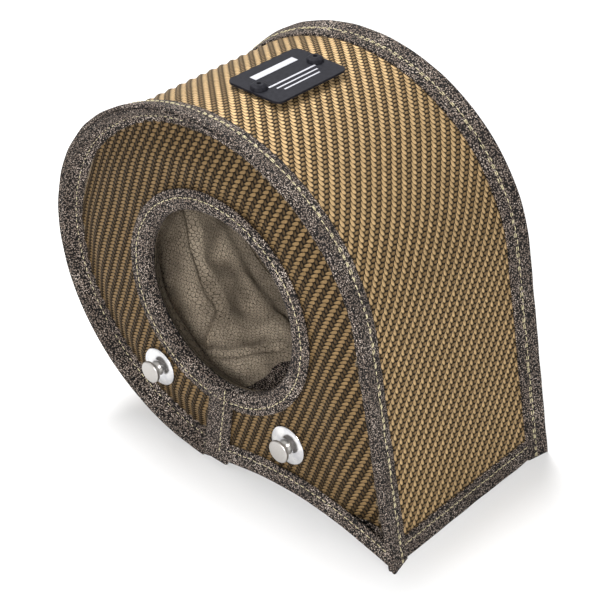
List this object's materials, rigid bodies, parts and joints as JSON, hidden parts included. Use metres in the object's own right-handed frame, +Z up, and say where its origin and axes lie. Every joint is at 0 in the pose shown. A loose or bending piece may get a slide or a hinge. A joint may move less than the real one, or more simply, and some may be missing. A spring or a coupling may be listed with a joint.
{
  "type": "turbo heat blanket",
  "caption": "Padded snail-shaped heat jacket for a turbine housing: woven outer cover, grey edge tape, side opening with slit, open flange side and lacing capstans.",
  "frame": {"origin": "middle of the footprint, on the floor that the open flange side stands on", "axes": "+Z up away from the flange opening, +Y from the front panel to the rear panel, +X towards the foot of the flared side"},
  "size_m": [0.2388, 0.1406, 0.2059],
  "materials": {
    "outer_weave": "coarse twill of glossy basalt yarn",
    "insulation": "needled fibre mat",
    "liner_mesh": "fine grey mesh over foil, matt",
    "edge_tape": "speckled knitted glass tape",
    "stainless": "bright turned stainless",
    "black_plate": "satin black anodised"
  },
  "bodies": {
    "root": {"front_panel_outer_fabric": "outer_weave", "rear_panel_outer_fabric": "outer_weave", "band_outer_fabric": "outer_weave", "front_panel_insulation": "insulation", "rear_panel_insulation": "insulation", "band_insulation": "insulation", "front_panel_liner": "liner_mesh", "rear_panel_liner": "liner_mesh", "band_liner": "liner_mesh", "front_opening_binding": "edge_tape", "rear_opening_binding": "edge_tape", "front_slit_edge_tape": "edge_tape", "rear_slit_edge_tape": "edge_tape", "front_panel_seam_tape": "edge_tape", "rear_panel_seam_tape": "edge_tape", "front_band_seam_tape": "edge_tape", "rear_band_seam_tape": "edge_tape", "band_foot_tape": "edge_tape", "band_slit_end_tape": "edge_tape", "front_capstan_washer_left": "stainless", "rear_capstan_washer_left": "stainless", "front_capstan_stud_left": "stainless", "rear_capstan_stud_left": "stainless", "front_capstan_retainer_left": "stainless", "rear_capstan_retainer_left": "stainless", "front_capstan_washer_right": "stainless", "rear_capstan_washer_right": "stainless", "front_capstan_stud_right": "stainless", "rear_capstan_stud_right": "stainless", "front_capstan_retainer_right": "stainless", "rear_capstan_retainer_right": "stainless", "nameplate": "black_plate", "nameplate_rivet_1": "black_plate", "nameplate_rivet_2": "black_plate", "rivet_backing_washer_1": "stainless", "rivet_backing_washer_2": "stainless"}
  },
  "joints": []
}
